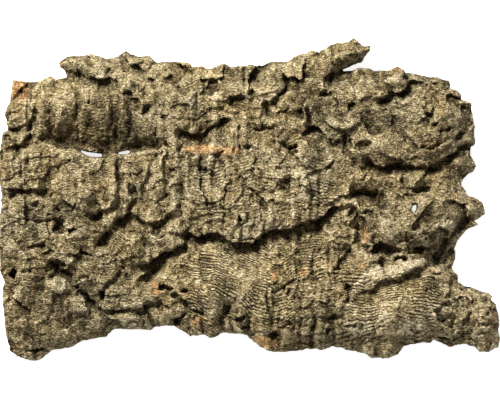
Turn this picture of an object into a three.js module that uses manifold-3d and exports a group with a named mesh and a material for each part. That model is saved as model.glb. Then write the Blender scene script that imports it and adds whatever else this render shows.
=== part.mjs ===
// A slab of virgin cork bark, lying flat with its rough outer side up.
// Millimetres, +Z up, +X along the trunk. The origin is on the ground under the middle of the slab.
import * as THREE from "three";
import { mergeVertices } from "three/addons/utils/BufferGeometryUtils.js";
import Module from "manifold-3d";

const wasm = await Module();
wasm.setup();

// Driving dimensions
const LENGTH = 300; // along the trunk, from the sawn end to the broken end
const BARK_THICKNESS = 27; // from the inner side to the crest of the plates
const LEAST_BARK = 6; // bark left under the deepest furrow
const EDGE_LOSS = 0.55; // share of the thickness that is lost at a broken edge
const EDGE_REACH = 24; // width of the shoulder that falls to a broken edge
const BELLY_RISE = 3.4; // height of the hollow under the inner side
const BELLY_RIPPLE = 0.5; // long ripples of the inner side
const FOOT_DROP = 4.6; // how far the inner side comes down at each of its three low points
const FOOT_REACH = 20; // radius of a low point

// Plan points are read from a plan view, in units from its top left corner, with y downwards.
// The slab is PLAN_SPAN units long there, from the sawn end to the furthest tip.
const PLAN_SPAN = 498;
const PLAN_CENTRE = new THREE.Vector2(250, 200);
const UNIT = LENGTH / PLAN_SPAN;
const WIDTH = 322 * UNIT;

// The outline, clockwise in the plan view, in its four stretches
const TOP_EDGE = [
  [13, 80], [30, 82], [43, 81], [49, 77], [56, 79], [67, 77], [66, 72], [60, 66], [59, 62], [66, 57],
  [78, 55], [92, 55], [106, 58], [116, 57], [123, 52], [131, 55], [142, 57], [149, 55], [156, 62],
  [172, 61], [190, 63], [193, 67], [203, 66], [208, 69], [218, 67], [224, 64], [231, 67], [250, 65],
  [258, 67], [268, 63], [288, 61], [297, 56], [305, 53], [312, 50], [319, 52], [325, 49], [334, 44],
  [347, 42], [354, 39], [362, 46], [369, 46], [370, 50], [364, 56], [362, 61], [352, 66], [344, 70],
  [352, 70], [359, 67], [366, 67], [376, 71], [388, 70], [397, 67], [406, 72], [420, 75], [438, 77],
  [449, 81], [450, 85], [448, 90], [455, 90], [460, 95], [461, 100], [471, 104],
];
const BROKEN_END = [
  [471, 110], [475, 127], [474, 144], [470, 147], [470, 157], [475, 166], [472, 172], [463, 178],
  [460, 183], [464, 192], [467, 197], [474, 198], [483, 203], [485, 213], [473, 221], [477, 224],
  [467, 230], [458, 241], [455, 249], [455, 260], [452, 268], [457, 275], [457, 282], [465, 287],
  [478, 290], [487, 292], [493, 296], [491, 300], [496, 304], [499, 320], [498, 332], [499, 340],
  [497, 347], [488, 352], [480, 351],
];
const BOTTOM_EDGE = [
  [475, 346], [466, 343], [457, 344], [450, 348], [443, 344], [433, 339], [429, 343], [412, 343],
  [404, 346], [398, 354], [388, 358], [371, 357], [364, 352], [349, 351], [343, 348], [333, 346],
  [324, 349], [300, 350], [283, 353], [272, 351], [259, 346], [247, 335], [232, 333], [223, 332],
  [214, 337], [203, 334], [191, 336], [182, 330], [170, 325], [155, 326], [152, 330], [130, 329],
  [112, 330], [106, 337], [80, 341], [70, 348], [52, 351], [42, 358], [34, 361], [20, 358],
];
const SAWN_END = [
  [11, 351], [7, 335], [5, 306], [4, 288], [6, 281], [2, 272], [1, 250], [2, 220], [4, 196], [1, 178],
  [1, 155], [4, 133], [9, 131], [6, 114], [11, 103],
];
const BROKEN_EDGES = [...TOP_EDGE, ...BROKEN_END, ...BOTTOM_EDGE];

// Holes that go right through: two slits in the floor of the upper furrow, and an eye near the broken end
const SLITS = [
  [[83, 151], [90, 152.4], [96, 153], [104, 154.4], [104, 156.6], [97, 156.4], [90, 154.8]],
  [[118, 152.6], [123, 151.6], [130, 150.6], [130, 152.4], [125, 154.2], [119, 154.8]],
];
const EYE = { centre: [413.5, 208], radii: [3.4, 4.8], turn: 0.5 };

// Furrows between the plates. Each has its depth and the widths of its two walls in millimetres:
// "up" is the wall on the left of the path and "down" the one on its right, as the plan is drawn.
const FURROWS = [
  // Along the middle of the slab
  { depth: 11, up: 2.5, down: 15, path: [[178, 236], [188, 237], [198, 241], [209, 239], [219, 238],
    [224, 242], [234, 243], [244, 246], [253, 249], [257, 243], [266, 236], [278, 233], [290, 232],
    [301, 228], [311, 224], [319, 222], [326, 216], [333, 211], [341, 209], [349, 207]] },
  { depth: 8, up: 2.5, down: 4, path: [[349, 207], [355, 213], [360, 220], [361, 229], [358, 237],
    [355, 245]] },
  { depth: 13, up: 3, down: 9, path: [[138, 267], [148, 266], [157, 262], [166, 256], [175, 252], [184, 246]] },
  { depth: 11, up: 4, down: 4, path: [[143, 285], [149, 277], [155, 269], [160, 263]] },
  { depth: 8, up: 2, down: 7, path: [[90, 217], [98, 217], [105, 214], [112, 208], [117, 203]] },
  { depth: 9, up: 2.5, down: 9, path: [[112, 227], [118, 222], [125, 218], [131, 214], [138, 219], [145, 224],
    [153, 225], [160, 222], [167, 217], [178, 215]] },
  { depth: 8, up: 3, down: 5, path: [[100, 250], [103, 242], [107, 236], [112, 229]] },
  { depth: 6, up: 3, down: 2, path: [[134, 186], [135, 196], [132, 205], [130, 214]] },
  { depth: 5, up: 1.5, down: 2.5, path: [[247, 189], [256, 193], [262, 200], [269, 213]] },
  // Under the roll at the upper left
  { depth: 12, up: 34, down: 1.5, path: [[38, 139], [46, 142], [56, 145], [66, 147], [77, 149], [86, 152],
    [95, 154], [106, 156], [118, 153], [130, 151], [142, 149], [157, 149], [168, 147]] },
  { depth: 7, up: 2, down: 5, path: [[12, 152], [18, 149], [25, 145], [31, 140], [36, 136]] },
  { depth: 5, up: 2, down: 3, path: [[8, 131], [16, 131], [24, 130], [30, 127], [35, 121], [36, 113],
    [33, 107]] },
  // Along the top
  { depth: 5, up: 2, down: 6, path: [[64, 78], [80, 79], [92, 80], [104, 83], [113, 83], [126, 80]] },
  { depth: 8, up: 2, down: 8, path: [[176, 127], [181, 133], [190, 136], [198, 137], [205, 135], [210, 130],
    [217, 127], [223, 122], [232, 121]] },
  { depth: 8, up: 3, down: 4, path: [[270, 110], [273, 104], [279, 97], [285, 93], [289, 88], [286, 81]] },
  { depth: 9, up: 2, down: 4, path: [[333, 79], [340, 78], [347, 76], [353, 71]] },
  // The crumbled right half
  { depth: 10, up: 6, down: 3, path: [[374, 103], [382, 103], [390, 100], [396, 97], [403, 96], [411, 94]] },
  { depth: 9, up: 2.5, down: 6, path: [[366, 162], [373, 168], [382, 170], [392, 169], [403, 169], [415, 170],
    [425, 169], [431, 167], [439, 164], [448, 160], [456, 155], [470, 151]] },
  { depth: 6, up: 1.5, down: 4, path: [[399, 187], [405, 190], [414, 190], [430, 187]] },
  { depth: 6, up: 2, down: 2, path: [[404, 170], [405, 178], [403, 187]] },
  { depth: 9, up: 8, down: 2, path: [[346, 197], [355, 195], [365, 195], [374, 198], [381, 207], [393, 209]] },
  { depth: 6, up: 1.5, down: 16, path: [[352, 294], [363, 292], [374, 291], [378, 283], [386, 281], [397, 280],
    [405, 275], [413, 270], [424, 268], [433, 267]] },
  { depth: 6, up: 2, down: 2.5, path: [[433, 266], [438, 257], [443, 249], [449, 240], [455, 230], [462, 225],
    [473, 221]] },
  { depth: 5, up: 1.5, down: 2, path: [[330, 270], [338, 268], [343, 261], [346, 255], [351, 250]] },
  // The lower left
  { depth: 6, up: 1.5, down: 5, path: [[10, 191], [22, 192], [31, 191], [41, 192], [51, 195]] },
  { depth: 6, up: 1.5, down: 5, path: [[28, 247], [35, 246], [43, 245], [50, 241]] },
  { depth: 5, up: 1.5, down: 4, path: [[44, 255], [52, 251], [58, 249]] },
  { depth: 10, up: 5, down: 3, path: [[49, 268], [56, 266], [62, 271], [68, 279], [75, 284]] },
  { depth: 7, up: 1.5, down: 7, path: [[68, 256], [76, 255], [85, 255], [94, 258]] },
  { depth: 9, up: 3, down: 3, path: [[73, 285], [80, 290], [86, 297], [91, 305], [95, 314]] },
  { depth: 5, up: 3, down: 2, path: [[93, 313], [104, 314], [117, 314], [131, 313], [147, 309], [160, 307],
    [173, 309]] },
  // Along the bottom
  { depth: 7, up: 3, down: 2, path: [[174, 327], [180, 320], [186, 313]] },
  { depth: 6, up: 2, down: 2, path: [[171, 293], [178, 298], [185, 304], [192, 309], [199, 310], [204, 316]] },
  { depth: 5, up: 2, down: 2, path: [[223, 328], [224, 320], [226, 312], [228, 304]] },
  { depth: 5, up: 3, down: 2, path: [[288, 303], [287, 296], [289, 288]] },
  { depth: 6, up: 1.5, down: 3, path: [[267, 337], [272, 334], [279, 331]] },
  { depth: 6, up: 2, down: 4, path: [[321, 319], [328, 317], [338, 315]] },
];
const WALL_POWER = 1.1; // above 1 a wall is steepest at the floor of its furrow
const NARROWEST_WALL = 4.2; // a wall is never narrower than the facets can follow
const END_TAPER = 0.8; // a furrow runs out at its ends over this many times its wider wall,
const LONGEST_TAPER = 14; // or over this length where that is shorter
const END_SHARE = 0.3; // share of its depth that a furrow still has at its very end
const SAG_SHARE = 0.28; // the plates sag towards a furrow by this share of its depth
const SAG_WIDTH = 20; // how far from a furrow the plates sag

// Hollows: centre, radii and turn (degrees, clockwise) in the plan, and depth in millimetres
const HOLLOWS = [
  // Caves under the pale plate at the right
  { at: [381, 250], radii: [17, 6.5], turn: 0, depth: 14 },
  { at: [418, 249], radii: [9, 5.5], turn: -15, depth: 13 },
  { at: [399, 260], radii: [6, 3], turn: -20, depth: 8 },
  // Left side
  { at: [62, 228], radii: [6, 5], turn: 0, depth: 9 },
  { at: [60, 268], radii: [8, 9], turn: 0, depth: 10 },
  { at: [103, 296], radii: [5, 6], turn: 0, depth: 8 },
  { at: [15, 196], radii: [5, 6], turn: 0, depth: 7 },
  { at: [17, 273], radii: [3, 6], turn: 30, depth: 7 },
  { at: [36, 354], radii: [9, 3], turn: 0, depth: 6 },
  { at: [166, 286], radii: [5, 4], turn: 0, depth: 8 },
  { at: [183, 292], radii: [4, 3], turn: 0, depth: 7 },
  // Along the top
  { at: [82, 61], radii: [9, 3], turn: 0, depth: 5 },
  { at: [111, 79], radii: [4, 5], turn: 0, depth: 6 },
  { at: [128, 93], radii: [6, 6], turn: 0, depth: 5 },
  { at: [146, 111], radii: [6, 5], turn: 0, depth: 6 },
  { at: [211, 92], radii: [8, 6], turn: -20, depth: 7 },
  { at: [238, 101], radii: [9, 5], turn: 0, depth: 8 },
  { at: [252, 94], radii: [5, 7], turn: 0, depth: 7 },
  { at: [309, 130], radii: [6, 7], turn: 0, depth: 6 },
  { at: [329, 81], radii: [4, 6], turn: 0, depth: 7 },
  { at: [326, 95], radii: [6, 5], turn: 0, depth: 6 },
  // Right side
  { at: [347, 146], radii: [5, 12], turn: 0, depth: 7 },
  { at: [351, 109], radii: [4, 4], turn: 0, depth: 6 },
  { at: [407, 80], radii: [3.5, 7], turn: 0, depth: 7 },
  { at: [428, 114], radii: [4.5, 4], turn: 0, depth: 6 },
  { at: [452, 101], radii: [6.5, 4], turn: 0, depth: 7 },
  { at: [484, 296], radii: [4, 3], turn: 0, depth: 6 },
  { at: [446, 341], radii: [7, 3], turn: 0, depth: 6 },
];
const HOLLOW_POWER = 0.7; // below 1 a hollow has a flat floor and steep sides

// Swells: raised plates and knobs, given as the hollows are, with their height in millimetres
const SWELLS = [
  // Knobs along the top
  { at: [48, 81], radii: [10, 6], turn: 0, height: 2 },
  { at: [92, 66], radii: [28, 12], turn: 0, height: 3 },
  { at: [123, 58], radii: [7, 6], turn: 0, height: 3 },
  { at: [150, 66], radii: [12, 8], turn: 0, height: 2 },
  { at: [280, 130], radii: [16, 14], turn: 0, height: 2.5 },
  { at: [350, 54], radii: [22, 10], turn: -25, height: 2 },
  { at: [395, 80], radii: [14, 9], turn: 0, height: 3 },
  // Rounded masses and plates of the right half
  { at: [405, 145], radii: [42, 20], turn: -8, height: 4 },
  { at: [417, 180], radii: [14, 9], turn: 0, height: 3 },
  { at: [392, 270], radii: [36, 8], turn: -14, height: 4 },
  { at: [338, 297], radii: [14, 17], turn: 0, height: 3 },
  { at: [395, 320], radii: [50, 20], turn: 0, height: 2 },
  { at: [478, 320], radii: [17, 20], turn: 0, height: 3 },
  // Plates of the left half and the middle
  { at: [60, 120], radii: [18, 24], turn: 0, height: 2 },
  { at: [58, 283], radii: [10, 8], turn: 20, height: 4 },
  { at: [82, 306], radii: [13, 10], turn: 20, height: 4 },
  { at: [130, 245], radii: [18, 20], turn: 0, height: 2 },
  { at: [162, 277], radii: [18, 10], turn: -20, height: 3 },
  { at: [238, 287], radii: [34, 20], turn: 10, height: 2.5 },
  { at: [300, 304], radii: [20, 18], turn: 0, height: 2 },
];

// Rounded lumps of the plates: wavelength and height in millimetres
const LUMPS = [
  { size: 30, height: 3.2, seed: 1 },
  { size: 14, height: 2.0, seed: 2 },
];

// Three low points of the inner side, round the middle of the slab, in the plan
const FEET = [[72, 312], [436, 318], [262, 92]];

// Facets: columns along X and rows along Y of each face, and the block that they are cut from
const OUTER_FACETS = [92, 57];
const INNER_FACETS = [30, 20];
const MARGIN = 5;
const BLOCK_DEPTH = 30;
const SKY = 80; // the outline is cut from the ground up to this height

const CORK = new THREE.MeshStandardMaterial({ color: 0x7d6f50, roughness: 0.95, metalness: 0 });

// A plan point as a point of the part
function place([x, y]) {
  return new THREE.Vector2((x - PLAN_CENTRE.x) * UNIT, (PLAN_CENTRE.y - y) * UNIT);
}

// A closed geometry as a solid that can be joined and cut
function solidOf(geometry) {
  const bare = geometry.clone();
  bare.deleteAttribute("normal");
  bare.deleteAttribute("uv");
  const merged = mergeVertices(bare, 1e-4);
  return new wasm.Manifold(
    new wasm.Mesh({
      numProp: 3,
      vertProperties: new Float32Array(merged.attributes.position.array),
      triVerts: new Uint32Array(merged.index.array),
    }),
  );
}

// A solid as a geometry that can be drawn
function geometryOf(solid) {
  const { vertProperties, triVerts } = solid.getMesh();
  const geometry = new THREE.BufferGeometry();
  geometry.setAttribute("position", new THREE.BufferAttribute(vertProperties, 3));
  geometry.setIndex(new THREE.BufferAttribute(triVerts, 1));
  geometry.computeVertexNormals();
  return geometry;
}

// Smooth noise from -1 to 1 on a lattice one unit wide, the same at every run
function noise(x, y, seed) {
  const corner = (i, j) => {
    const s = Math.sin(i * 127.1 + j * 311.7 + seed * 74.7) * 43758.5453;
    return 2 * (s - Math.floor(s)) - 1;
  };
  const i = Math.floor(x);
  const j = Math.floor(y);
  const u = THREE.MathUtils.smoothstep(x - i, 0, 1);
  const v = THREE.MathUtils.smoothstep(y - j, 0, 1);
  const low = THREE.MathUtils.lerp(corner(i, j), corner(i + 1, j), u);
  const high = THREE.MathUtils.lerp(corner(i, j + 1), corner(i + 1, j + 1), u);
  return THREE.MathUtils.lerp(low, high, v);
}

// The point of a path that is nearest to p: how far away, on which side, and how far from the path's ends
function nearest(path, p) {
  const found = { distance: Infinity, side: 1, along: 0 };
  let length = 0;
  for (let k = 1; k < path.length; k++) {
    const start = path[k - 1];
    const step = path[k].clone().sub(start);
    const reach = step.length();
    const to = p.clone().sub(start);
    const t = THREE.MathUtils.clamp(to.dot(step) / (reach * reach), 0, 1);
    const distance = to.distanceTo(step.clone().multiplyScalar(t));
    if (distance < found.distance) {
      found.distance = distance;
      found.side = Math.sign(to.cross(step)) || 1;
      found.along = length + t * reach;
    }
    length += reach;
  }
  found.fromEnd = Math.min(found.along, length - found.along);
  return found;
}

// How deep a furrow cuts at p. Towards its ends it gets shallower, and its wider wall as narrow as the other.
function furrowCut({ depth, up, down, line }, p) {
  const { distance, side, fromEnd } = nearest(line, p);
  const full = Math.min(1, fromEnd / Math.min(END_TAPER * Math.max(up, down), LONGEST_TAPER));
  const width = THREE.MathUtils.lerp(Math.min(up, down), side > 0 ? down : up, full);
  const wall = Math.max(0, 1 - distance / Math.max(NARROWEST_WALL, width)) ** WALL_POWER;
  const sag = SAG_SHARE * Math.max(0, 1 - distance / SAG_WIDTH) ** 2;
  return depth * THREE.MathUtils.lerp(END_SHARE, 1, full) * Math.max(wall, sag);
}

// The bowl of a hollow, or the dome of a swell: 1 at its centre and 0 from its edge on
function bowl({ centre, radii, turn }, p) {
  const local = p.clone().sub(centre).rotateAround(new THREE.Vector2(), THREE.MathUtils.degToRad(turn));
  const share = (local.x / (radii[0] * UNIT)) ** 2 + (local.y / (radii[1] * UNIT)) ** 2;
  return Math.max(0, 1 - share) ** HOLLOW_POWER;
}

const furrows = FURROWS.map((furrow) => ({ ...furrow, line: furrow.path.map(place) }));
const hollows = HOLLOWS.map((hollow) => ({ ...hollow, centre: place(hollow.at) }));
const swells = SWELLS.map((swell) => ({ ...swell, centre: place(swell.at) }));
const brokenEdges = BROKEN_EDGES.map(place);
const feet = FEET.map(place);

// Height of the inner side, which the trunk grew under. It is below the ground only at the three feet.
function belly(x, y) {
  const arch = BELLY_RISE * (1 - ((2 * y) / WIDTH) ** 2);
  const ripple = BELLY_RIPPLE * noise(x / 60, y / 16, 3);
  const drops = feet.map((foot) => Math.exp(-((foot.distanceTo(new THREE.Vector2(x, y)) / FOOT_REACH) ** 2)));
  return Math.max(0.8, arch + ripple) - FOOT_DROP * Math.max(...drops) ** 3;
}

// Height of the outer side: plates of full thickness, thinner at the broken edges, with swells,
// cut by furrows and hollows
function outerSide(x, y) {
  const p = new THREE.Vector2(x, y);
  const inner = Math.max(0, belly(x, y));
  const fromEdge = Math.min(1, nearest(brokenEdges, p).distance / EDGE_REACH);
  const thickness = BARK_THICKNESS * (1 - EDGE_LOSS * (1 - fromEdge) ** 2);
  const lumps = LUMPS.map(({ size, height, seed }) => height * noise(x / size, y / size, seed));
  const domes = swells.map((swell) => swell.height * bowl(swell, p));
  const raised = [...lumps, ...domes].reduce((sum, height) => sum + height, 0);
  const cuts = [...furrows.map((f) => furrowCut(f, p)), ...hollows.map((h) => h.depth * bowl(h, p))];
  return inner + Math.max(LEAST_BARK, thickness + raised - Math.max(...cuts));
}

// Everything that lies under a surface, as a block whose upper face follows it
function blockUnder(surface, [columns, rows]) {
  const block = new THREE.BoxGeometry(LENGTH + 2 * MARGIN, WIDTH + 2 * MARGIN, BLOCK_DEPTH, columns, rows, 1);
  const points = block.getAttribute("position");
  for (let k = 0; k < points.count; k++) {
    const upper = points.getZ(k) > 0;
    points.setZ(k, upper ? surface(points.getX(k), points.getY(k)) : -BLOCK_DEPTH);
  }
  return solidOf(block);
}

// The outline with its through holes, from the ground up
function outlineBlock() {
  const shape = new THREE.Shape([...BROKEN_EDGES, ...SAWN_END].map(place));
  const eye = new THREE.Path();
  const [eyeX, eyeY] = place(EYE.centre);
  eye.absellipse(eyeX, eyeY, EYE.radii[0] * UNIT, EYE.radii[1] * UNIT, 0, 2 * Math.PI, false, -EYE.turn);
  shape.holes = [...SLITS.map((slit) => new THREE.Path(slit.map(place).reverse())), eye];
  return solidOf(new THREE.ExtrudeGeometry(shape, { depth: SKY, bevelEnabled: false, curveSegments: 5 }));
}

const slab = outlineBlock()
  .intersect(blockUnder(outerSide, OUTER_FACETS))
  .subtract(blockUnder(belly, INNER_FACETS));

const bark = new THREE.Mesh(geometryOf(slab), CORK);
bark.name = "bark";

const part = new THREE.Group();
part.add(bark);

export default part;
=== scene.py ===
"""A slab of virgin cork bark, lying on a pale floor and seen from straight above."""

import bpy
import mathutils
import numpy as np
import openvdb
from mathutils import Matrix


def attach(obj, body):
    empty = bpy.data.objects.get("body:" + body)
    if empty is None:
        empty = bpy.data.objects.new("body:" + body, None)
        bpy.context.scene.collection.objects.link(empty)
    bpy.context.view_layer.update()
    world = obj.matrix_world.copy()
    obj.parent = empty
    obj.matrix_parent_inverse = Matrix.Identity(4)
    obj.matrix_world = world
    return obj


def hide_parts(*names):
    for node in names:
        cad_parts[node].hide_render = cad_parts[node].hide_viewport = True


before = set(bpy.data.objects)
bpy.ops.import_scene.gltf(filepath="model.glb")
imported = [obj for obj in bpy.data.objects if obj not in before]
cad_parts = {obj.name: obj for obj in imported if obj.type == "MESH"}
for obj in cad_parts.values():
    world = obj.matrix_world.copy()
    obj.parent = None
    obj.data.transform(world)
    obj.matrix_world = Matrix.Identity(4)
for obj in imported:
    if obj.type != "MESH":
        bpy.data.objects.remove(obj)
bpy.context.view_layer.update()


# The slab: its outline.
# A flat piece of outer bark, prised from a cork oak and sawn square at its left end.
# The other three sides are broken, so they are ragged and thinner than the middle.
# All sizes of the bark are in millimetres, and plan points are in the units of a plan
# view that is 498 units long, with y downwards.

LENGTH = 300.0
UNIT = LENGTH / 498
WIDTH = 322 * UNIT
STEP = 0.7  # distance between the points of the relief
X, Y = np.meshgrid(np.arange(-153, 153.1, STEP), np.arange(-100, 100.1, STEP), indexing="ij")

TOP_EDGE = [
    (13, 80), (30, 82), (43, 81), (49, 77), (56, 79), (67, 77), (66, 72), (60, 66), (59, 62), (66, 57),
    (78, 55), (92, 55), (106, 58), (116, 57), (123, 52), (131, 55), (142, 57), (149, 55), (156, 62),
    (172, 61), (190, 63), (193, 67), (203, 66), (208, 69), (218, 67), (224, 64), (231, 67), (250, 65),
    (258, 67), (268, 63), (288, 61), (297, 56), (305, 53), (312, 50), (319, 52), (325, 49), (334, 44),
    (347, 42), (354, 39), (362, 46), (369, 46), (370, 50), (364, 56), (362, 61), (352, 66), (344, 70),
    (352, 70), (359, 67), (366, 67), (376, 71), (388, 70), (397, 67), (406, 72), (420, 75), (438, 77),
    (449, 81), (450, 85), (448, 90), (455, 90), (460, 95), (461, 100), (471, 104)]
BROKEN_END = [
    (471, 110), (475, 127), (474, 144), (470, 147), (470, 157), (475, 166), (472, 172), (463, 178),
    (460, 183), (464, 192), (467, 197), (474, 198), (483, 203), (485, 213), (473, 221), (477, 224),
    (467, 230), (458, 241), (455, 249), (455, 260), (452, 268), (457, 275), (457, 282), (465, 287),
    (478, 290), (487, 292), (493, 296), (491, 300), (496, 304), (499, 320), (498, 332), (499, 340),
    (497, 347), (488, 352), (480, 351)]
BOTTOM_EDGE = [
    (475, 346), (466, 343), (457, 344), (450, 348), (443, 344), (433, 339), (429, 343), (412, 343),
    (404, 346), (398, 354), (388, 358), (371, 357), (364, 352), (349, 351), (343, 348), (333, 346),
    (324, 349), (300, 350), (283, 353), (272, 351), (259, 346), (247, 335), (232, 333), (223, 332),
    (214, 337), (203, 334), (191, 336), (182, 330), (170, 325), (155, 326), (152, 330), (130, 329),
    (112, 330), (106, 337), (80, 341), (70, 348), (52, 351), (42, 358), (34, 361), (20, 358)]
SAWN_END = [
    (11, 351), (7, 335), (5, 306), (4, 288), (6, 281), (2, 272), (1, 250), (2, 220), (4, 196), (1, 178),
    (1, 155), (4, 133), (9, 131), (6, 114), (11, 103)]


def place(points):
    """Plan points as millimetres in the bark's own frame."""
    plan = np.array(points, float)
    return np.column_stack(((plan[:, 0] - 250) * UNIT, (200 - plan[:, 1]) * UNIT))


def chance(i, j, seed):
    """A fixed random number from -1 to 1 for each point of a lattice."""
    s = np.sin(i * 127.1 + j * 311.7 + seed * 74.7) * 43758.5453
    return 2 * (s - np.floor(s)) - 1


def noise(x, y, seed):
    """Smooth noise from -1 to 1 on a lattice one unit wide."""
    i, j = np.floor(x), np.floor(y)
    u, v = x - i, y - j
    u, v = u * u * (3 - 2 * u), v * v * (3 - 2 * v)
    low = chance(i, j, seed) * (1 - u) + chance(i + 1, j, seed) * u
    high = chance(i, j + 1, seed) * (1 - u) + chance(i + 1, j + 1, seed) * u
    return low * (1 - v) + high * v


def rubble(x, y, size, seed, octaves=4, fade=0.55):
    """Noise of several sizes on top of each other, from about -1 to 1."""
    total = sum(fade**k * noise(x * 2**k / size, y * 2**k / size, seed + 11 * k) for k in range(octaves))
    return total * (1 - fade) / (1 - fade**octaves) * 1.6


def nearest(points, x, y):
    """How far each spot is from a path, on which side of it, and how far from the path's ends."""
    line = place(points)
    best = np.full(x.shape, 1e9)
    side = np.ones(x.shape)
    along = np.zeros(x.shape)
    length = 0.0
    for start, end in zip(line[:-1], line[1:]):
        step = end - start
        reach = np.hypot(*step)
        dx, dy = x - start[0], y - start[1]
        t = np.clip((dx * step[0] + dy * step[1]) / reach**2, 0, 1)
        distance = np.hypot(dx - t * step[0], dy - t * step[1])
        nearer = distance < best
        best = np.where(nearer, distance, best)
        side = np.where(nearer, np.sign(dx * step[1] - dy * step[0]), side)
        along = np.where(nearer, length + t * reach, along)
        length += reach
    return best, side, np.minimum(along, length - along)


def inside(points, x, y):
    """True for each spot that a closed outline holds."""
    line = place(points)
    odd = np.zeros(x.shape, bool)
    for (x0, y0), (x1, y1) in zip(line, np.roll(line, -1, axis=0)):
        if y0 != y1:
            odd ^= ((y0 > y) != (y1 > y)) & (x < (x1 - x0) * (y - y0) / (y1 - y0) + x0)
    return odd


# The broken line is ragged at the scale of a few millimetres
ragged_x = X + 0.55 * rubble(X, Y, 5, 40, 3)
ragged_y = Y + 0.55 * rubble(X, Y, 5, 41, 3)
broken = TOP_EDGE + BROKEN_END + BOTTOM_EDGE
outline = broken + SAWN_END
to_broken = nearest(broken, ragged_x, ragged_y)[0]
to_sawn = nearest([BOTTOM_EDGE[-1]] + SAWN_END + [TOP_EDGE[0]], X, Y)[0]
beyond = np.where(inside(outline, ragged_x, ragged_y), -1, 1) * np.minimum(to_broken, to_sawn)

# Two slits in the floor of the upper furrow and an eye near the broken end go right through
SLITS = [
    [(77, 147.8), (84, 150.6), (90, 152), (96, 152.6), (102, 153.4), (103, 157.4), (96, 157.8), (88, 156.4),
     (82, 153.4)],
    [(118, 152), (123, 150.8), (130, 150), (131, 153), (125, 155), (118, 155.4)]]
EYE = [(411, 212.5), (409.6, 209), (411.5, 205.5), (415, 203.3), (417, 205.5), (416, 210), (413.5, 212.5)]
for opening in SLITS + [EYE]:
    gap = np.where(inside(opening, X, Y), 1, -1) * nearest(opening + opening[:1], X, Y)[0]
    beyond = np.maximum(beyond, gap)


# The slab: its inner side and its thickness.
# The inner side lay against the trunk, so it is a shallow trough with long low ripples.
# It comes down to the floor at three low points, which the slab rests on.

THICKNESS = 27  # of the bark away from its broken edges
THIN_RIM = 24  # width along the broken edges over which the bark gets thinner
FEET = [(72, 312), (436, 318), (262, 92)]
drop = np.max([np.exp(-((X - x) ** 2 + (Y - y) ** 2) / 20**2) for x, y in place(FEET)], axis=0)
belly = np.maximum(0.8, 3.4 * (1 - (2 * Y / WIDTH) ** 2) + 0.5 * noise(X / 60, Y / 16, 3)) - 4.6 * drop**3
belly = np.maximum(belly, 0)
from_edge = np.minimum(1, nearest(broken, X, Y)[0] / THIN_RIM)
lumps = 3.2 * noise(X / 30, Y / 30, 1) + 2.0 * noise(X / 14, Y / 14, 2)
crest = belly + THICKNESS * (1 - 0.55 * (1 - from_edge) ** 2) + lumps


# The slab: its furrows.
# As the trunk grew, the cork split into plates. Each furrow has a depth and two walls: the upper
# plate mostly ends in a steep lip, and the lower one rises slowly out of the furrow.
# Each line: depth, width of the wall on the left of the path, width of the wall on its right, path.

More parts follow.
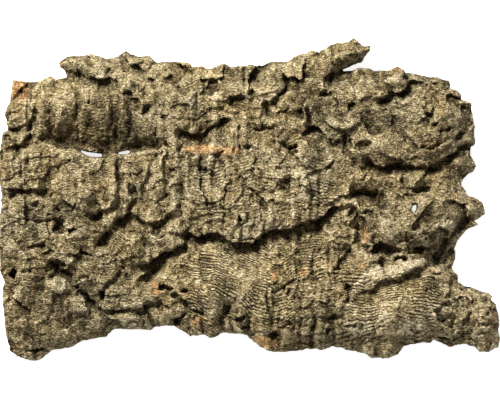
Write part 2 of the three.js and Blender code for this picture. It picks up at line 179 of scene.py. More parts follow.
FURROWS = [
    # Along the middle
    (11, 2.5, 15, [(178, 236), (188, 237), (198, 241), (209, 239), (219, 238), (224, 242), (234, 243),
                   (244, 246), (253, 249), (257, 243), (266, 236), (278, 233), (290, 232), (301, 228),
                   (311, 224), (319, 222), (326, 216), (333, 211), (341, 209), (349, 207)]),
    (8, 2.5, 4, [(349, 207), (355, 213), (360, 220), (361, 229), (358, 237), (355, 245)]),
    (4, 1, 2, [(355, 213), (365, 212), (372, 213)]),
    (13, 3, 9, [(138, 267), (148, 266), (157, 262), (166, 256), (175, 252), (184, 246), (190, 243)]),
    (11, 4, 4, [(143, 285), (149, 277), (155, 269), (160, 263)]),
    (8, 2, 7, [(90, 217), (98, 217), (105, 214), (112, 208), (117, 203)]),
    (9, 2.5, 9, [(112, 227), (118, 222), (125, 218), (131, 214), (138, 219), (145, 224), (153, 225),
                 (160, 222), (167, 217), (178, 215)]),
    (8, 3, 5, [(100, 250), (103, 242), (107, 236), (112, 229)]),
    (6, 3, 3, [(145, 224), (147, 232), (149, 240), (150, 248)]),
    (6, 3, 2, [(134, 186), (135, 196), (132, 205), (130, 214)]),
    (5, 1.5, 2.5, [(247, 189), (256, 193), (262, 200), (266, 206), (269, 213)]),
    (3, 1, 5, [(202, 204), (212, 204), (221, 202)]),
    (3, 1, 1, [(221, 205), (224, 213), (224, 222), (222, 236)]),
    (4, 1.5, 4, [(276, 190), (283, 182), (292, 180)]),
    (4, 2, 2, [(238, 172), (243, 180), (246, 188), (243, 197)]),
    (4, 1.5, 2, [(221, 160), (223, 168), (227, 177)]),
    # Under the roll at the upper left
    (12, 34, 1.5, [(38, 139), (46, 142), (56, 145), (66, 147), (77, 149), (86, 152), (95, 154), (106, 156),
                 (118, 153), (130, 151), (142, 149), (157, 149), (168, 147)]),
    (3.5, 7, 1.2, [(75, 87), (79, 105), (76, 122), (74, 140), (75, 149)]),
    (2.5, 3, 5, [(56, 107), (51, 125), (47, 140)]),
    (2.5, 6, 1.5, [(114, 108), (115, 127), (116, 150)]),
    (2, 3, 3, [(99, 117), (100, 132), (100, 148)]),
    (2.5, 5, 1.5, [(130, 113), (132, 128), (132, 142)]),
    (3, 2, 1.5, [(161, 152), (166, 165), (172, 180)]),
    (2, 1.5, 1.5, [(190, 160), (191, 175), (191, 190)]),
    (7, 2, 5, [(12, 152), (18, 149), (25, 145), (31, 140), (36, 136)]),
    (5, 2, 3, [(8, 131), (16, 131), (24, 130), (30, 127), (35, 121), (36, 113), (33, 107)]),
    (4, 2, 2, [(12, 102), (18, 101), (23, 97), (28, 92), (33, 88), (40, 86)]),
    (5, 2, 2, [(122, 158), (121, 166), (119, 174), (121, 181)]),
    (3, 1, 1, [(62, 164), (61, 170), (61, 176)]),
    (3, 1, 1, [(77, 183), (78, 190)]),
    (3, 1, 1, [(90, 162), (89, 170)]),
    (3, 1, 1.5, [(103, 186), (109, 192)]),
    # Along the top
    (5, 2, 6, [(64, 78), (80, 79), (92, 80), (104, 83), (113, 83), (126, 80)]),
    (4, 3, 3, [(121, 60), (125, 68), (126, 76), (124, 83)]),
    (3, 1.5, 6, [(132, 72), (138, 70), (146, 70), (155, 70)]),
    (3, 1.5, 2, [(133, 82), (138, 89), (143, 95), (147, 100)]),
    (4, 2, 2, [(166, 85), (172, 81), (178, 90), (182, 92)]),
    (4, 1.5, 1.5, [(243, 70), (244, 78), (244, 86)]),
    (5, 4, 2, [(227, 103), (233, 106), (241, 107), (248, 103), (255, 101), (262, 98)]),
    (8, 2, 8, [(176, 127), (181, 133), (190, 136), (198, 137), (205, 135), (210, 130), (217, 127),
               (223, 122), (232, 121), (237, 122)]),
    (3, 1, 2, [(160, 118), (168, 117), (172, 115)]),
    (3, 1, 1, [(189, 117), (190, 127)]),
    (3, 1, 1, [(194, 118), (193, 128)]),
    (8, 3, 4, [(270, 110), (273, 104), (279, 97), (285, 93), (289, 88), (286, 81)]),
    (4, 1, 2, [(276, 112), (284, 112), (291, 106)]),
    (5, 2, 2, [(262, 101), (266, 107), (269, 113), (268, 120)]),
    (6, 1.5, 2, [(254, 130), (262, 129), (270, 129), (276, 128)]),
    (6, 2, 3, [(308, 108), (309, 116), (310, 124), (308, 131), (303, 138)]),
    (9, 2, 4, [(333, 79), (340, 78), (347, 76), (353, 71)]),
    # The crumbled right half
    (10, 6, 3, [(374, 103), (382, 103), (390, 100), (396, 97), (403, 96), (411, 94)]),
    (6, 1.5, 1.5, [(439, 80), (443, 85), (448, 90)]),
    (4, 1, 1.5, [(438, 131), (444, 131), (450, 128)]),
    (5, 2, 3, [(330, 147), (336, 145), (342, 141)]),
    (5, 3, 3, [(358, 148), (366, 146), (373, 142)]),
    (9, 2.5, 6, [(366, 162), (373, 168), (382, 170), (392, 169), (403, 169), (415, 170), (425, 169),
                 (431, 167), (439, 164), (448, 160), (456, 155), (470, 151)]),
    (4, 2, 2, [(452, 141), (458, 139), (463, 134)]),
    (6, 1.5, 4, [(399, 187), (405, 190), (414, 190), (430, 187)]),
    (6, 2, 2, [(404, 170), (405, 178), (403, 187)]),
    (9, 8, 2, [(346, 197), (355, 195), (365, 195), (374, 198), (381, 207), (393, 209)]),
    (6, 1.5, 16, [(352, 294), (363, 292), (374, 291), (378, 283), (386, 281), (397, 280), (405, 275),
                  (413, 270), (424, 268), (433, 267)]),
    (6, 2, 2.5, [(433, 266), (438, 257), (443, 249), (449, 240), (455, 230), (462, 225), (473, 221)]),
    (5, 1, 1.5, [(438, 256), (446, 257), (455, 259)]),
    (4, 1, 2, [(428, 272), (436, 275), (441, 275)]),
    (2, 0.8, 0.8, [(412, 234), (407, 238), (402, 241), (397, 241)]),
    (2, 0.8, 0.8, [(413, 218), (418, 226), (421, 231)]),
    (5, 1.5, 2, [(330, 270), (338, 268), (343, 261), (346, 255), (351, 250)]),
    (5, 2, 2, [(344, 284), (349, 287), (348, 296), (345, 304)]),
    (5, 2, 2, [(356, 247), (363, 246), (370, 248)]),
    # The lower left
    (6, 1.5, 5, [(10, 191), (22, 192), (31, 191), (41, 192), (51, 195)]),
    (3, 1, 3, [(30, 203), (42, 203)]),
    (4, 2, 2, [(56, 205), (60, 209), (62, 214)]),
    (4, 1, 1, [(54, 221), (60, 222), (66, 222)]),
    (6, 1.5, 5, [(28, 247), (35, 246), (43, 245), (50, 241)]),
    (5, 1.5, 4, [(44, 255), (52, 251), (58, 249)]),
    (10, 5, 3, [(49, 268), (56, 266), (62, 271), (68, 279), (75, 284)]),
    (7, 1.5, 7, [(68, 256), (76, 255), (85, 255), (94, 258)]),
    (9, 3, 3, [(73, 285), (80, 290), (86, 297), (91, 305), (95, 314)]),
    (5, 3, 2, [(93, 313), (104, 314), (117, 314), (131, 313), (147, 309), (160, 307), (173, 309)]),
    # Along the bottom
    (7, 3, 2, [(174, 327), (180, 320), (186, 313)]),
    (6, 2, 2, [(171, 293), (178, 298), (185, 304), (192, 309), (199, 310), (204, 316)]),
    (5, 2, 2, [(223, 328), (224, 320), (226, 312), (228, 304)]),
    (5, 2, 1.5, [(238, 324), (243, 320), (246, 316)]),
    (3, 3, 1, [(262, 290), (266, 298), (268, 308), (272, 320)]),
    (4, 1, 2, [(269, 292), (278, 289), (286, 285), (293, 283)]),
    (5, 3, 2, [(288, 303), (287, 296), (289, 288)]),
    (6, 1.5, 3, [(267, 337), (272, 334), (279, 331)]),
    (3, 1, 1, [(278, 328), (284, 324), (291, 322)]),
    (4, 1, 1, [(284, 349), (292, 347), (302, 346), (314, 347)]),
    (6, 2, 4, [(321, 319), (328, 317), (338, 315)]),
    (4, 1, 1, [(455, 302), (462, 299)]),
    (4, 1, 1, [(483, 314), (490, 313)]),
]


def window(points, reach):
    """The part of the relief that lies within reach of some plan points."""
    spots = place(points)
    low = ((spots.min(axis=0) - reach - [X[0, 0], Y[0, 0]]) / STEP).astype(int)
    high = ((spots.max(axis=0) + reach - [X[0, 0], Y[0, 0]]) / STEP).astype(int) + 1
    return slice(max(low[0], 0), high[0]), slice(max(low[1], 0), high[1])


SAG = 20  # the plates sag towards a furrow over this width
cut = np.zeros(X.shape)
uneven = np.clip(1 + 0.6 * rubble(X, Y, 8, 50, 3), 0.3, 1.7)
bent_x = X + 1.3 * rubble(X, Y, 6, 42, 4, 0.7)
bent_y = Y + 1.3 * rubble(X, Y, 6, 43, 4, 0.7)
for depth, left, right, path in FURROWS:
    here = window(path, max(SAG, left, right) + 2)
    distance, side, from_end = nearest(path, bent_x[here], bent_y[here])
    full = np.minimum(1, from_end / min(0.8 * max(left, right), 14))
    width = np.where(side > 0, right, left)
    width = min(left, right) + (width - min(left, right)) * full
    width = width + (uneven[here] - 1) * np.minimum(width, 4)
    bend = np.where(width > 20, 2.4, np.where(width > 4, 1.1, 0.8))
    wall = np.where(width > 6, 1.1, 1.6) * np.clip(1 - distance / width, 0, 1) ** bend
    wall = np.minimum(wall, 1)
    sag = 0.28 * np.clip(1 - distance / SAG, 0, 1) ** 2
    deep = depth * (0.6 + 0.4 * uneven[here]) * (0.3 + 0.7 * full)
    cut[here] = np.maximum(cut[here], deep * np.maximum(wall, sag))

# Hollows: centre, radii and clockwise turn in the plan, and depth. The last six are small holes.
HOLLOWS = [
    (381, 250, 17, 6.5, 0, 14), (418, 249, 9, 5.5, -15, 13), (399, 260, 6, 3, -20, 8),
    (62, 228, 6, 5, 0, 9), (73, 231, 3, 3, 0, 7), (60, 268, 8, 9, 0, 10), (103, 296, 5, 6, 0, 8),
    (15, 196, 5, 6, 0, 7), (50, 216, 3, 2, 0, 5), (17, 273, 3, 6, 30, 7), (36, 354, 9, 3, 0, 6),
    (166, 286, 5, 4, 0, 8), (183, 292, 4, 3, 0, 7), (82, 61, 9, 3, 0, 5), (76, 77, 4, 2.5, 0, 6),
    (111, 79, 4, 5, 0, 6), (128, 93, 6, 6, 0, 5), (136, 102, 4, 4, 0, 4), (146, 111, 6, 5, 0, 6),
    (154, 86, 3, 6, 15, 4), (211, 92, 8, 6, -20, 7), (238, 101, 9, 5, 0, 8), (252, 94, 5, 7, 0, 7),
    (309, 130, 6, 7, 0, 6), (329, 81, 4, 6, 0, 7), (326, 95, 6, 5, 0, 6), (361, 73, 3, 3, 0, 5),
    (382, 73, 2, 2, 0, 5), (347, 146, 5, 12, 0, 7), (351, 109, 4, 4, 0, 6), (407, 80, 3.5, 7, 0, 7),
    (428, 114, 4.5, 4, 0, 6), (433, 127, 3, 3, 0, 5), (452, 101, 6.5, 4, 0, 7), (462, 113, 5, 3, 0, 6),
    (484, 296, 4, 3, 0, 6), (495, 331, 3, 3, 0, 6), (446, 341, 7, 3, 0, 6), (167, 196, 2.5, 3, 0, 4),
    (158, 157, 3, 4, 0, 5), (172, 172, 2.5, 4, 0, 5), (205, 168, 4, 4, 0, 4), (247, 331, 6, 3, 0, 5),
    (326, 330, 3, 2.5, 0, 5), (335, 235, 3, 3, 0, 4), (318, 254, 1.5, 3, 0, 3), (484, 326, 3, 2, 0, 4),
    (242, 218, 2.2, 2.6, 0, 7), (163, 235, 1.6, 1.6, 0, 5), (295, 152, 2.8, 4, 20, 6),
    (90, 105, 2.5, 2.5, 0, 5), (123, 266, 2.5, 2.5, 0, 5), (426, 236, 1.8, 1.8, 0, 5),
]


def oval(x, y, along, across, turn):
    """1 in the middle of a ragged oval of the plan, 0 on its border and less than 0 outside."""
    (centre_x, centre_y), angle = place([(x, y)])[0], np.radians(turn)
    dx, dy = 2 * bent_x - X - centre_x, centre_y - 2 * bent_y + Y
    share = ((dx * np.cos(angle) + dy * np.sin(angle)) / (along * UNIT)) ** 2
    return 1 - share - ((dy * np.cos(angle) - dx * np.sin(angle)) / (across * UNIT)) ** 2


for *pit, depth in HOLLOWS:
    cut = np.maximum(cut, depth * np.clip(oval(*pit), 0, 1) ** 0.6)


# The slab: the face of its plates.
# The weathered face is flaky and full of small cracks. At the upper left it is fluted across the
# trunk, and in the right half it has crumbled to lumps.


def patch(x0, y0, x1, y1, soft):
    """1 inside a box of the plan, falling to 0 over a soft edge."""
    (left, top), (right, low) = place([(x0, y0), (x1, y1)])
    past_x = np.maximum(np.maximum(left - X, X - right), 0)
    past_y = np.maximum(np.maximum(low - Y, Y - top), 0)
    return np.clip(1 - np.hypot(past_x, past_y) / soft, 0, 1)


# Where the face has crumbled to lumps, where it is gritty, the roll at the upper left, the lip below
# its slits, and the plates that stayed smooth
crumbled = np.max([
    patch(285, 75, 475, 160, 14), patch(335, 150, 475, 200, 14), patch(440, 285, 499, 352, 12),
    patch(60, 50, 280, 82, 10), patch(355, 200, 480, 262, 10) * 0.8, patch(5, 205, 95, 350, 14) * 0.8,
    patch(90, 270, 185, 335, 8) * 0.7], axis=0)
whole = 1 - crumbled
gritty = np.maximum(patch(445, 290, 499, 352, 8), 0.6 * patch(60, 50, 200, 82, 8))
roll = patch(44, 90, 168, 146, 5)
lip = patch(80, 147, 136, 162, 6)
smooth = np.max([
    patch(192, 252, 258, 306, 8), patch(340, 288, 432, 338, 8), 0.8 * patch(352, 262, 425, 284, 5)], axis=0)


def pieces(x, y, size, seed):
    """Each spot's height on the tilted piece of the face that it is on, and its way to the next piece."""
    i, j = np.floor(x / size), np.floor(y / size)
    first, second, height = np.full(x.shape, 9.0), np.full(x.shape, 9.0), np.zeros(x.shape)
    for a, b in [(a, b) for a in (-1, 0, 1) for b in (-1, 0, 1)]:
        dx = x / size - (i + a + 0.5 + 0.42 * chance(i + a, j + b, seed))
        dy = y / size - (j + b + 0.5 + 0.42 * chance(i + a, j + b, seed + 1))
        slope = chance(i + a, j + b, seed + 2) * dx + chance(i + a, j + b, seed + 3) * dy
        away = np.hypot(dx, dy)
        nearer = away < first
        second = np.where(nearer, first, np.minimum(second, away))
        height = np.where(nearer, 0.6 * chance(i + a, j + b, seed + 4) + 1.6 * slope, height)
        first = np.minimum(first, away)
    return height, second - first


# The lumps, the chips and the tall plates are pieces of three sizes, with seams between them
torn_x, torn_y = X + 2.2 * rubble(X, Y, 9, 72, 4, 0.65), Y + 2.2 * rubble(X, Y, 9, 73, 4, 0.65)
lump = pieces(torn_x, torn_y, 15, 90)[0]
chip, chip_gap = pieces(torn_x, torn_y, 6, 93)
column, column_gap = pieces(torn_x, 0.3 * torn_y, 7.5, 96)
chip_seam, column_seam = np.clip(1 - chip_gap / 0.1, 0, 1), np.clip(1 - column_gap / 0.09, 0, 1)

# The flutes run across the slab, and the ledges overlap like shingles with their lips downwards
flutes = np.abs(rubble(X + 1.6 * rubble(X, Y, 10, 59, 3), Y * 0.1, 7.5, 60, 3)) ** 0.8
ledges = Y / 12 + 1.2 * rubble(X * 0.7, Y, 15, 67, 4)
ledges = 1 - np.abs(ledges - np.floor(ledges) - 0.15) / 0.85
cracks = np.clip(1 - np.abs(rubble(X, Y * 0.45, 11, 63, 4)) / 0.06, 0, 1)
cracks = cracks * np.clip(noise(X / 16, Y / 16, 64) + 0.2, 0, 1)

ribbed = (4.4 - 0.8 * roll) * (1 - 0.8 * lip) * flutes + (1 - 0.8 * roll) * (1.4 * column - 0.9 * column_seam)
lumpy = 4.2 * lump + 3.0 * rubble(X, Y, 18, 66, 3)
chipped = (0.5 + 1.2 * gritty) * (1 - 0.7 * roll) * (1 - 0.6 * smooth) * (chip - 0.8 * chip_seam)
stepped = (1.8 - 0.9 * crumbled) * (1 - roll) * (1 - 0.5 * smooth) * ledges
face = whole * (1 - 0.5 * smooth) * ribbed - 1.8 * (1 - 0.8 * roll) * cracks
face = face + crumbled * lumpy + chipped + stepped

# Swells of the plates: centre, radii and clockwise turn in the plan, and height
SWELLS = [
    (92, 66, 28, 12, 0, 3), (123, 58, 7, 6, 0, 3), (150, 66, 12, 8, 0, 2), (48, 81, 10, 6, 0, 2),
    (58, 283, 10, 8, 20, 4), (82, 306, 13, 10, 20, 4), (162, 277, 18, 10, -20, 3), (130, 245, 18, 20, 0, 2),
    (392, 270, 36, 8, -14, 4), (417, 180, 14, 9, 0, 3), (338, 297, 14, 17, 0, 3), (405, 145, 42, 20, -8, 4),
    (395, 80, 14, 9, 0, 3), (350, 54, 22, 10, -25, 2), (478, 320, 17, 20, 0, 3), (300, 304, 20, 18, 0, 2),
    (238, 287, 34, 20, 10, 2.5), (395, 320, 50, 20, 0, 2), (62, 118, 7, 26, 0, 2.5), (46, 112, 5, 22, 0, 2),
    (424, 230, 26, 14, 0, 4), (436, 232, 22, 13, -20, 5), (386, 228, 20, 11, 0, 3), (84, 112, 5, 28, 0, 1.5),
    (96, 116, 5, 28, 0, 1.5), (107, 118, 5, 26, 0, 1.5), (123, 124, 5, 20, 0, 2), (142, 128, 7, 14, 0, 2),
    (280, 130, 16, 14, 0, 2.5), (440, 110, 14, 10, 0, 2)]
for *swell, height in SWELLS:
    face = face + height * np.clip(oval(*swell), 0, 1) ** 0.7
crest = crest + face


# The slab: its body.
# One solid between the two sides and the outline. The furrows lean in under the upper lips, and
# the broken edges show the layers of the cork and draw in a little underneath.

LEAN = 0.25  # sideways lean of the furrows for each millimetre of depth
LEAN_FROM = 26  # height below which they lean
LEAN_DEPTH = 20  # depth over which they go on leaning
LEAST_BARK = 4  # bark left under the deepest furrow
LAYER = 1.8  # thickness of one layer of cork at the broken edge
levels = np.arange(-1.2, 40, STEP)
body = np.empty(X.shape + levels.shape, np.float32)
broken_side = np.where(to_sawn < 8, 0, 1)
for k, z in enumerate(levels):
    shift = LEAN * np.clip(LEAN_FROM - z, 0, LEAN_DEPTH) / STEP
    cells, part = int(shift), shift - int(shift)
    leaning = np.roll(cut, cells, axis=1) * (1 - part) + np.roll(cut, cells + 1, axis=1) * part
    top = np.maximum(crest - leaning, belly + LEAST_BARK)
    ragged = noise(X / 6, Y / 6 + 3.1 * np.floor(z / LAYER), 70) + 0.6 * noise(X / 2.4, Y / 2.4 + 1.7 * z, 71)
    rim = beyond + broken_side * (0.5 * ragged + 0.2 + 2.0 * np.clip(1 - z / 9, 0, 1) ** 2) + 0.15 * ragged
    body[:, :, k] = np.clip(np.maximum(np.maximum(z - top, belly - z), rim), -2, 2)
grid = openvdb.FloatGrid(2.0)
grid.copyFromArray(body)
points, quads = grid.convertToQuads(0.0)
points = np.array(points, float) * STEP + [X[0, 0], Y[0, 0], levels[0]]
rough = bpy.data.objects.new("bark_rough", bpy.data.meshes.new("bark_rough"))
rough.data.from_pydata(points / 1000, [], np.array(quads))
rough.data.shade_smooth()
bpy.context.collection.objects.link(rough)


# The slab: its cork.
# Dead cork, weathered to an olive grey, with dirt and painted shade in the hollows, and crests worn pale that
# also carry painted highlight. Yearly layers show as fine lines, and where a flake broke off lately the fresh
# cork is orange.


class Tone:
    """A socket of a node tree. Sums and products add Math nodes, and make() adds any other node."""

    def __init__(self, tree, socket):
        self.tree, self.socket = tree, socket

    def make(self, kind, settings=None, sockets=None, out=0):
        node = self.tree.nodes.new(kind)
        for name, value in (settings or {}).items():
            if name == "stops":
                ramp = node.color_ramp
                for at, _ in value[1:-1]:
                    ramp.elements.new(at)
                for stop, (at, colour) in zip(ramp.elements, value):
                    stop.position, stop.color = at, (*colour, 1)
            else:
                setattr(node, name, value)
        for name, value in (sockets or {}).items():
            if isinstance(value, Tone):
                self.tree.links.new(value.socket, node.inputs[name])
            else:
                node.inputs[name].default_value = value
        return Tone(self.tree, node.outputs[out])

    def math(self, operation, first, second=0.0):
        return self.make("ShaderNodeMath", {"operation": operation}, {0: first, 1: second})

    def clamp(self):
        return self.make("ShaderNodeClamp", {}, {"Value": self})

    def __add__(self, other):
        return self.math("ADD", self, other)

    def __sub__(self, other):
        return self.math("SUBTRACT", self, other)

    def __rsub__(self, other):
        return self.math("SUBTRACT", other, self)

    def __mul__(self, other):
        return self.math("MULTIPLY", self, other)

    __radd__, __rmul__ = __add__, __mul__


cork = bpy.data.materials.new("weathered_cork")
cork.use_nodes = True
nodes = cork.node_tree.nodes
skin = nodes["Principled BSDF"]
spot = Tone(cork.node_tree, nodes.new("ShaderNodeTexCoord").outputs["Object"])


def speckle(size, detail=3.0, roughness=0.6, stretch=(1, 1, 1)):
    """Noise of the cork's face from -0.5 to 0.5, with its size in millimetres."""
    where = spot.make("ShaderNodeVectorMath", {"operation": "DIVIDE"}, {0: spot, 1: stretch})
    return spot.make("ShaderNodeTexNoise", {}, {
        "Vector": where, "Scale": 1000 / size, "Detail": detail, "Roughness": roughness}) - 0.5


def amount(name):
    """How much of a mark there is at each point of the bark."""
    return spot.make("ShaderNodeAttribute", {"attribute_name": name}, out="Fac")


# Yearly lines, fine grain, hair cracks and thin flakes, then how light each spot is
YEAR = 1.9  # distance between two yearly lines
height_mm = spot.make("ShaderNodeSeparateXYZ", {}, {0: spot}, out="Z") * 1000
years = (amount("layer") + 0.3 * height_mm + 4 * speckle(16, 2) + 0.8 * speckle(4, 2)) * (2 * np.pi / YEAR)
lines = ((spot.math("SINE", years) - 0.1) * 2).clamp() * amount("lined") * (0.6 + 4 * speckle(11, 3)).clamp()
mottle = speckle(14, 2)
rough_face = (0.9 + 1.6 * speckle(7, 2)) * (1 - 0.45 * amount("lined"))
grain = (1.1 * speckle(0.75, 1) + 1.7 * speckle(0.65, 1, stretch=(3, 1, 1))) * rough_face
hairs = (1 - 18 * spot.math("ABSOLUTE", speckle(3.2, 3, 0.6))).clamp()
drift = spot.make("ShaderNodeTexNoise", {}, {"Vector": spot, "Scale": 400.0, "Detail": 2.0}, out="Color")
torn = spot.make("ShaderNodeVectorMath", {"operation": "MULTIPLY_ADD"}, {0: drift, 1: (0.003,) * 3, 2: spot})


def flakes(size):
    """A random number from -0.5 to 0.5 for each thin flake, with the flakes' size in millimetres."""
    where = spot.make("ShaderNodeVectorMath", {"operation": "DIVIDE"}, {0: torn, 1: (1.5, 1, 1)})
    return spot.make("ShaderNodeTexVoronoi", {}, {"Vector": where, "Scale": 1000 / size}, out="Color") - 0.5


fine = 1.5 * grain - 0.4 * hairs + 0.45 * flakes(3.2) + 0.6 * flakes(1.5) - 1.15 * lines
broken_off = ((amount("fresh") + 2.6 * speckle(7, 4, 0.75) - 0.62) * 5).clamp() * 0.85
# Painted highlight: the crests are lightened here, together with their wear
# Painted shade: the hollows are darkened here, together with their dirt
shade = 0.585 + 0.6 * mottle + 0.66 * fine + 0.22 * amount("worn") - 0.3 * amount("hollow") + amount("tone")
shade = shade + 0.05 * broken_off
grey = spot.make("ShaderNodeValToRGB", {"stops": [
    (0.0, (0.016, 0.012, 0.005)), (0.25, (0.075, 0.057, 0.026)), (0.5, (0.2, 0.157, 0.078)),
    (0.75, (0.37, 0.3, 0.17)), (1.0, (0.62, 0.54, 0.37))]}, {"Fac": shade})
brown = spot.make("ShaderNodeValToRGB", {"stops": [
    (0.0, (0.018, 0.012, 0.004)), (0.25, (0.08, 0.054, 0.021)), (0.5, (0.21, 0.15, 0.062)),
    (0.75, (0.38, 0.29, 0.14)), (1.0, (0.63, 0.52, 0.32))]}, {"Fac": shade})
weathered = spot.make("ShaderNodeMix", {"data_type": "RGBA"}, {
    "Factor": (0.5 + 3 * speckle(32, 3) + amount("inner")).clamp(), 6: grey, 7: brown}, out=2)
fresh = spot.make("ShaderNodeValToRGB", {"stops": [
    (0.0, (0.05, 0.026, 0.01)), (0.5, (0.32, 0.165, 0.058)), (1.0, (0.7, 0.46, 0.21))]}, {"Fac": shade})
colour = spot.make("ShaderNodeMix", {"data_type": "RGBA"}, {
    "Factor": broken_off, 6: weathered, 7: fresh}, out=2)
bump = spot.make("ShaderNodeBump", {}, {"Strength": 1.0, "Distance": 0.001, "Height": fine})
cork.node_tree.links.new(colour.socket, skin.inputs["Base Color"])
cork.node_tree.links.new(bump.socket, skin.inputs["Normal"])
skin.inputs["Roughness"].default_value = 0.92
skin.inputs["Specular IOR Level"].default_value = 0.15

# Crumbs and pores of a few millimetres stand on every weathered face, and loose ones have fallen off
CRUMB = {"Crumb size": 0.0035, "Crumb height": 0.0006, "Seed": 5.0, "Cork": cork}
crumb = bpy.data.node_groups.new("cork_crumb", "GeometryNodeTree")
crumb.interface.new_socket("Geometry", in_out="INPUT", socket_type="NodeSocketGeometry")
for name, value in CRUMB.items():
    kind = "NodeSocketFloat" if isinstance(value, float) else "NodeSocketMaterial"
    crumb.interface.new_socket(name, in_out="INPUT", socket_type=kind)
crumb.interface.new_socket("Geometry", in_out="OUTPUT", socket_type="NodeSocketGeometry")
given = crumb.nodes.new("NodeGroupInput")
start = Tone(crumb, given.outputs["Geometry"])
size, tall = Tone(crumb, given.outputs["Crumb size"]), Tone(crumb, given.outputs["Crumb height"])
where = start.make("GeometryNodeInputPosition")
grains = start.make("ShaderNodeTexNoise", {"noise_dimensions": "4D"}, {
    "Vector": where, "W": Tone(crumb, given.outputs["Seed"]), "Scale": start.math("DIVIDE", 1.0, size),
    "Detail": 3.0, "Roughness": 0.6})
up = start.make("ShaderNodeSeparateXYZ", {}, {0: where}, out="Z")
weather = start.make("ShaderNodeMapRange", {}, {"Value": up, "From Min": 0.004, "From Max": 0.008})
push = start.make("ShaderNodeVectorMath", {"operation": "SCALE"}, {
    0: start.make("GeometryNodeInputNormal"), "Scale": (grains - 0.5) * 2 * tall * weather})
moved = start.make("GeometryNodeSetPosition", {}, {"Geometry": start, "Offset": push})
island = start.make("GeometryNodeInputMeshIsland", out="Island Index")
points_on_it = start.make("GeometryNodeAccumulateField", {}, {"Value": 1.0, "Group ID": island}, out="Total")
most = start.make("GeometryNodeAttributeStatistic", {}, {
    "Geometry": moved, "Attribute": points_on_it}, out="Max")
loose = start.math("LESS_THAN", points_on_it, most)
whole_slab = start.make("GeometryNodeDeleteGeometry", {}, {"Geometry": moved, "Selection": loose})
real = start.make("GeometryNodeRealizeInstances", {}, {0: whole_slab})
dressed = start.make("GeometryNodeSetMaterial", {}, {
    "Geometry": real, "Material": Tone(crumb, given.outputs["Cork"])})
crumb.links.new(dressed.socket, crumb.nodes.new("NodeGroupOutput").inputs[0])
modifier = rough.modifiers.new("crumb", "NODES")
modifier.node_group = crumb
for item in crumb.interface.items_tree:
    if item.in_out == "INPUT" and item.name in CRUMB:
        modifier[item.identifier] = CRUMB[item.name]
MOST_TRIANGLES = 195000
thin = rough.modifiers.new("thin", "DECIMATE")
thin.ratio = MOST_TRIANGLES / (2 * len(quads))
finished = bpy.data.meshes.new_from_object(rough.evaluated_get(bpy.context.evaluated_depsgraph_get()))
bpy.data.objects.remove(rough)
bark = bpy.data.objects.new("bark_slab", finished)
bpy.context.collection.objects.link(bark)


def blur(field, size):
    """A field of the relief with everything smaller than size smoothed away."""
    fx, fy = np.fft.fftfreq(field.shape[0], STEP)[:, None], np.fft.rfftfreq(field.shape[1], STEP)[None, :]
    keep = np.exp(-2 * (np.pi * size) ** 2 * (fx**2 + fy**2))
    return np.fft.irfft2(np.fft.rfft2(field) * keep, field.shape)


# Fresh breaks: centre and radii in the plan, and strength
FRESH = [
    (21, 90, 10, 11, 1.0), (7, 165, 8, 24, 0.5), (203, 149, 17, 4, 1.6), (226, 151, 14, 4, 1.6),
    (262, 343, 15, 7, 1.0), (364, 234, 4, 9, 0.9), (358, 262, 8, 8, 0.7), (157, 288, 8, 8, 0.8),
    (395, 71, 5, 4, 0.9), (61, 65, 3, 5, 0.9), (274, 275, 4, 5, 0.8), (303, 271, 5, 6, 0.8),
    (457, 195, 3, 3, 0.9), (374, 206, 3, 4, 0.9), (336, 207, 6, 3, 0.9), (489, 317, 9, 8, 0.7),
    (450, 346, 7, 3, 1.0), (202, 321, 12, 7, 0.7), (18, 347, 4, 8, 0.7), (34, 289, 2, 3, 0.9)]
fresh_cork = np.zeros(X.shape)
for x, y, along, across, strength in FRESH:
    centre_x, centre_y = place([(x, y)])[0]
    share = ((X - centre_x) / (along * UNIT)) ** 2 + ((Y - centre_y) / (across * UNIT)) ** 2
    fresh_cork = np.maximum(fresh_cork, strength * np.clip(1.6 - share, 0, 1))

# Lighter and darker areas: centre, radii and clockwise turn in the plan, and how much lighter
TONES = [
    (100, 118, 70, 36, 0, -0.1), (265, 190, 90, 34, 0, 0.09), (240, 285, 60, 40, 0, 0.08),
    (385, 312, 56, 30, 0, 0.17), (385, 130, 95, 70, 0, -0.06), (65, 270, 70, 80, 0, -0.08),
    (392, 271, 44, 10, -18, 0.3), (385, 325, 46, 10, 0, 0.12), (362, 299, 13, 8, 0, -0.2),
    (370, 194, 22, 12, 0, -0.22), (308, 92, 18, 10, 0, -0.18), (112, 132, 34, 18, 0, -0.1),
    (366, 222, 6, 14, 0, -0.2), (322, 112, 26, 12, 0, -0.1), (58, 283, 10, 7, 20, 0.25),
    (84, 305, 11, 9, 20, 0.15), (292, 168, 36, 18, 0, 0.1), (62, 115, 8, 26, 0, 0.12)]
tone = np.zeros(X.shape)
for *area, strength in TONES:
    tone = tone + strength * np.clip(2 * oval(*area), 0, 1)

# Where the yearly lines show, and which way they run
LINED = [
    (1, 192, 252, 290, 322), (1, 340, 278, 432, 340), (0.6, 200, 165, 330, 215), (0.8, 118, 225, 150, 262),
    (0.7, 296, 240, 345, 310), (0.4, 30, 160, 130, 188), (0.4, 80, 105, 130, 140)]
lined = 0.12 + 0.88 * np.max([strength * patch(*box, 6) for strength, *box in LINED], axis=0)
layer = -Y + 5 * noise(X / 46, Y / 46, 80) + 1.5 * noise(X / 17, Y / 17, 81) + 1.5 * column
layer = layer - 0.47 * (X + 6) * patch(188, 250, 275, 330, 14)
layer = layer - 0.9 * (X + 72) * patch(116, 222, 146, 258, 6)

# Dirt and painted shade lie in the hollows, and the crests are worn pale and carry painted highlight
carved = face - cut
below, above = blur(carved, 4) - carved, carved - blur(carved, 4)
hollow = 0.25 * np.clip((blur(carved, 1.3) - carved) / 2, 0, 1) + 0.75 * np.clip(below / 4, 0, 1)
worn = 0.3 * np.clip((carved - blur(carved, 1.5)) / 1.2, 0, 1) + 0.6 * np.clip(above / 3, 0, 1)
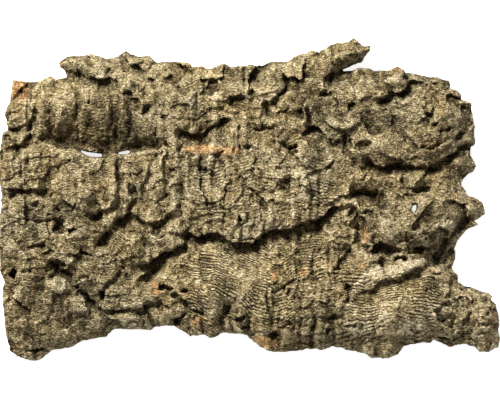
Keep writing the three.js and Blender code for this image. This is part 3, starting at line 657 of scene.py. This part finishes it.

# On the broken sides the layers run along the slab, and the inner side is browner. The broken sides also get
# painted shade: some of the hollows' darkening and a darker tone
spots = np.empty(len(finished.vertices) * 3)
finished.vertices.foreach_get("co", spots)
spots = spots.reshape(-1, 3) * 1000
i = np.clip(np.rint((spots[:, 0] - X[0, 0]) / STEP).astype(int), 0, X.shape[0] - 1)
j = np.clip(np.rint((spots[:, 1] - Y[0, 0]) / STEP).astype(int), 0, X.shape[1] - 1)
relief = np.maximum(crest - cut, belly + LEAST_BARK)
edge = np.clip((relief[i, j] - spots[:, 2] - 2) / 2, 0, 1)
inner = np.clip((belly[i, j] + 1.5 - spots[:, 2]) / 1.5, 0, 1)
for name, field, on_edge in [
        ("hollow", hollow, 0.2), ("worn", worn, 0), ("fresh", fresh_cork, 0.1), ("lined", lined, 0.5),
        ("layer", layer, 0.8 * spots[:, 2]), ("tone", tone, -0.08)]:
    values = field[i, j] * (1 - edge) + on_edge * edge
    finished.attributes.new(name, "FLOAT", "POINT").data.foreach_set("value", values)
finished.attributes.new("inner", "FLOAT", "POINT").data.foreach_set("value", inner)

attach(bark, "root")
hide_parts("bark")


# The floor, the light and the camera.
# A white light table under the slab, one soft lamp beyond its upper left corner, and a camera with
# a long lens straight above it.

paper = bpy.data.materials.new("light_table")
paper.use_nodes = True
table = paper.node_tree.nodes["Principled BSDF"]
table.inputs["Base Color"].default_value = (0.85, 0.85, 0.85, 1)
table.inputs["Roughness"].default_value = 1.0
table.inputs["Emission Color"].default_value = (1, 1, 1, 1)
table.inputs["Emission Strength"].default_value = 0.8
sheet = bpy.data.meshes.new("floor")
sheet.from_pydata([(-3, -3, 0), (3, -3, 0), (3, 3, 0), (-3, 3, 0)], [], [(0, 1, 2, 3)])
sheet.materials.append(paper)
floor = bpy.data.objects.new("floor", sheet)
bpy.context.collection.objects.link(floor)

lamp = bpy.data.objects.new("lamp", bpy.data.lights.new("lamp", "AREA"))
lamp.data.size = 0.6
lamp.data.energy = 150
lamp.location = (-0.9, 1.35, 1.55)
lamp.rotation_euler = mathutils.Vector(lamp.location).to_track_quat("Z", "Y").to_euler()
bpy.context.collection.objects.link(lamp)
sky = bpy.data.worlds.new("sky")
sky.use_nodes = True
sky.node_tree.nodes["Background"].inputs["Color"].default_value = (1, 1, 1, 1)
sky.node_tree.nodes["Background"].inputs["Strength"].default_value = 0.42
bpy.context.scene.world = sky
bpy.context.scene.view_settings.view_transform = "Standard"

LENS, SENSOR, FRAME = 300, 36, 500 * UNIT / 1000
camera = bpy.data.objects.new("camera", bpy.data.cameras.new("camera"))
camera.data.lens, camera.data.sensor_width = LENS, SENSOR
camera.location = (0, 0, 0.012 + FRAME * LENS / SENSOR)
bpy.context.collection.objects.link(camera)
bpy.context.scene.camera = camera
